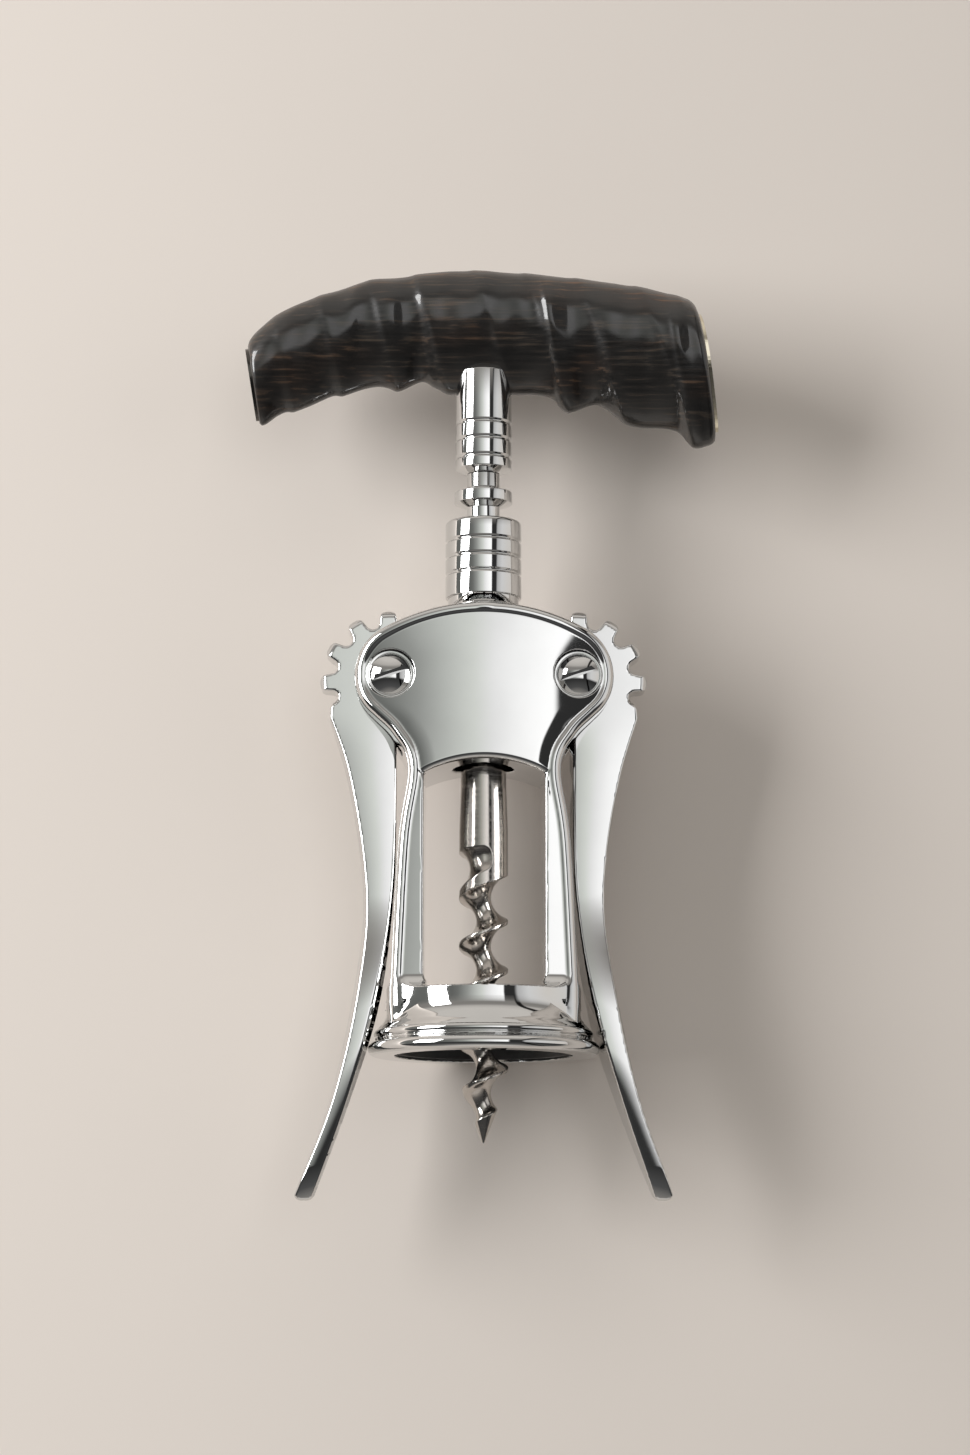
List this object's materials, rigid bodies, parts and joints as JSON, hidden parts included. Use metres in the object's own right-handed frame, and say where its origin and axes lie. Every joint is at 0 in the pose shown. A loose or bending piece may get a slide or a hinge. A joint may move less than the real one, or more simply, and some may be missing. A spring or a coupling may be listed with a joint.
{
  "type": "lever corkscrew",
  "caption": "Lever corkscrew with a bell-footed frame, a milled worm on a sliding rack, toothed wing levers that lift it and a bent horn crossbar.",
  "frame": {"origin": "on the worm axis, in the plane of the bell's mouth", "axes": "+Y along the worm axis from the bell towards the handle, +X to the right and +Z out of the front plate, which is up because the corkscrew lies on its back"},
  "size_m": [0.093, 0.1817, 0.0442],
  "materials": {
    "chrome": "mirror-polished plating",
    "worm_steel": "milled and lightly polished",
    "horn": "dark horn under clear gloss lacquer",
    "insert_plastic": "satin black",
    "washer_plastic": "plain",
    "end_plate": "polished pale metal"
  },
  "bodies": {
    "frame": {"frame": "chrome", "guide_collar": "chrome", "bell_insert": "insert_plastic", "pivot_barrel_left": "chrome", "pivot_barrel_right": "chrome", "pivot_screw_left": "chrome", "pivot_screw_right": "chrome", "washer_left_front": "washer_plastic", "washer_left_rear": "washer_plastic", "washer_right_front": "washer_plastic", "washer_right_rear": "washer_plastic"},
    "rack": {"rack_sleeve": "chrome"},
    "spindle": {"worm": "worm_steel", "ferrule": "chrome", "handle_stud": "worm_steel", "horn_handle": "horn", "handle_end_plate_left": "end_plate", "handle_end_plate_right": "end_plate"},
    "lever_left": {"lever_left": "chrome"},
    "lever_right": {"lever_right": "chrome"}
  },
  "joints": [
    {"name": "rack_slide", "type": "slide", "parent": "frame", "child": "rack", "axis": [0, -1, 0], "range_m": [0, 0.024]},
    {"name": "handle_turn", "type": "hinge", "parent": "rack", "child": "spindle", "pos_m": [0, 0.1134, 0], "axis": [0, 1, 0], "continuous": true},
    {"name": "lever_left_swing", "type": "hinge", "parent": "frame", "child": "lever_left", "pos_m": [-0.0179, 0.0722, 0], "axis": [0, 0, -1], "range_deg": [0, 112]},
    {"name": "lever_right_swing", "type": "hinge", "parent": "frame", "child": "lever_right", "pos_m": [0.0179, 0.0722, 0], "axis": [0, 0, 1], "range_deg": [0, 112]}
  ],
  "couplings": [
    {"joint": "lever_left_swing", "follows": "rack_slide", "rad_per_m": 80.307},
    {"joint": "lever_right_swing", "follows": "rack_slide", "rad_per_m": 80.307}
  ]
}
